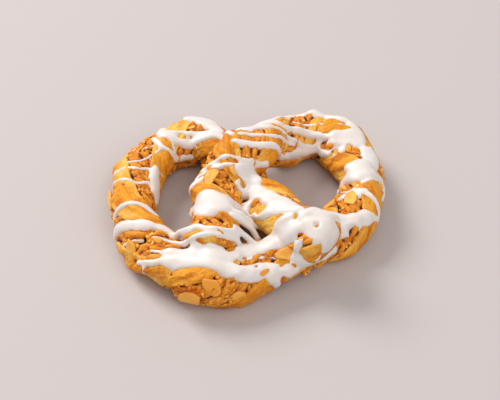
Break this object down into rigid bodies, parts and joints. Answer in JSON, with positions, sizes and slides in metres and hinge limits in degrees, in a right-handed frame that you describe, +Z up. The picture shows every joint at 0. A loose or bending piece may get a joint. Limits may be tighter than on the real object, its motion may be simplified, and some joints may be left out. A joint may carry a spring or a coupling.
{
  "type": "pretzel",
  "caption": "Sweet twisted pastry pretzel with two loops and crossed ends, nut filling between the twists, almond slices and drizzled white sugar icing.",
  "frame": {"origin": "on the surface it rests on, under the middle of the pretzel's bounding box", "axes": "+X to the pretzel's right, along its widest side; +Y from the belly towards the two lobes; +Z up"},
  "size_m": [0.1484, 0.1324, 0.0394],
  "materials": {
    "baked_dough": "baked golden-brown pastry, satin glaze over bands of rough caramelised nut filling",
    "sugar_icing": "thick glossy warm-white sugar icing",
    "almond": "toasted almond slice, satin, darker at the edge"
  },
  "bodies": {
    "root": {"pretzel": "baked_dough", "icing_left_lobe": "sugar_icing", "icing_left_apron": "sugar_icing", "icing_left_arc": "sugar_icing", "icing_front": "sugar_icing", "icing_tongue": "sugar_icing", "icing_crossing": "sugar_icing", "icing_right_lobe": "sugar_icing", "almond_slice_01": "almond", "almond_slice_02": "almond", "almond_slice_03": "almond", "almond_slice_04": "almond", "almond_slice_05": "almond", "almond_slice_06": "almond", "almond_slice_07": "almond", "almond_slice_08": "almond", "almond_slice_09": "almond", "almond_slice_10": "almond", "almond_slice_11": "almond", "almond_slice_12": "almond", "almond_slice_13": "almond", "almond_slice_14": "almond", "almond_slice_15": "almond", "almond_slice_16": "almond", "almond_slice_17": "almond", "almond_slice_18": "almond", "almond_slice_19": "almond", "almond_slice_20": "almond", "almond_slice_21": "almond"}
  },
  "joints": []
}
